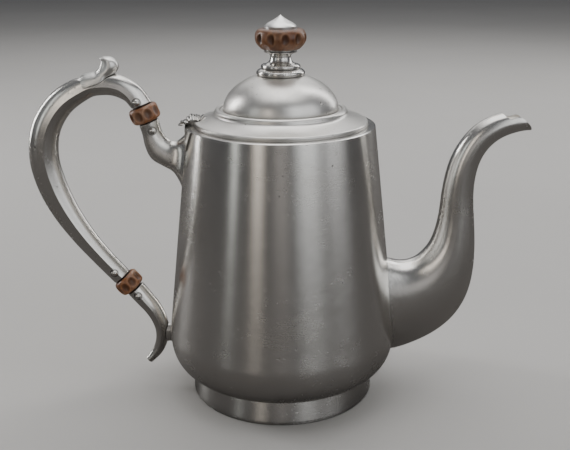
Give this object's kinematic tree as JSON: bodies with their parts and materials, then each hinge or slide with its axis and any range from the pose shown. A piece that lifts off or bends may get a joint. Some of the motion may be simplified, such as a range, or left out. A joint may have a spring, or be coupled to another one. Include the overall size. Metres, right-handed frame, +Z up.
{
  "type": "coffee pot",
  "caption": "Tall tapering silver coffee pot with a swan-neck spout, a domed lid hinged on the handle side and a loop handle with dimpled wooden insulators.",
  "frame": {"origin": "centre of the foot's flat bottom, on the pot's upright axis", "axes": "+Z up, +X towards the spout, the handle and hinge on -X"},
  "size_m": [0.2678, 0.1262, 0.208],
  "materials": {
    "silver_body": "satin sterling silver, finely brushed round the body",
    "silver_cast": "satin cast silver with darker recesses",
    "wood": "polished orange-brown boxwood, dark in the dimples"
  },
  "bodies": {
    "pot": {"body_shell": "silver_body", "base_disc": "silver_body", "foot_ring": "silver_body", "mouth_ring": "silver_body", "spout": "silver_body", "upper_socket": "silver_cast", "upper_insulator": "wood", "handle_grip": "silver_body", "thumb_scroll": "silver_cast", "lower_insulator": "wood", "tail_socket": "silver_cast", "handle_lug": "silver_cast", "upper_rivets": "silver_cast", "lower_rivets": "silver_cast", "hinge_plate": "silver_cast", "hinge_shell": "silver_cast", "hinge_pin": "silver_cast"},
    "lid": {"lid_cover": "silver_body", "lid_bezel": "silver_body", "hinge_leaf": "silver_cast", "finial_base": "silver_cast", "finial_knob": "wood", "finial_cap": "silver_cast", "finial_bolt": "silver_cast", "finial_washer": "silver_cast", "finial_nut": "silver_cast"}
  },
  "joints": [
    {"name": "lid_hinge", "type": "hinge", "parent": "pot", "child": "lid", "pos_m": [-0.045, 0, 0.1525], "axis": [0, -1, 0], "range_deg": [0, 70]}
  ]
}
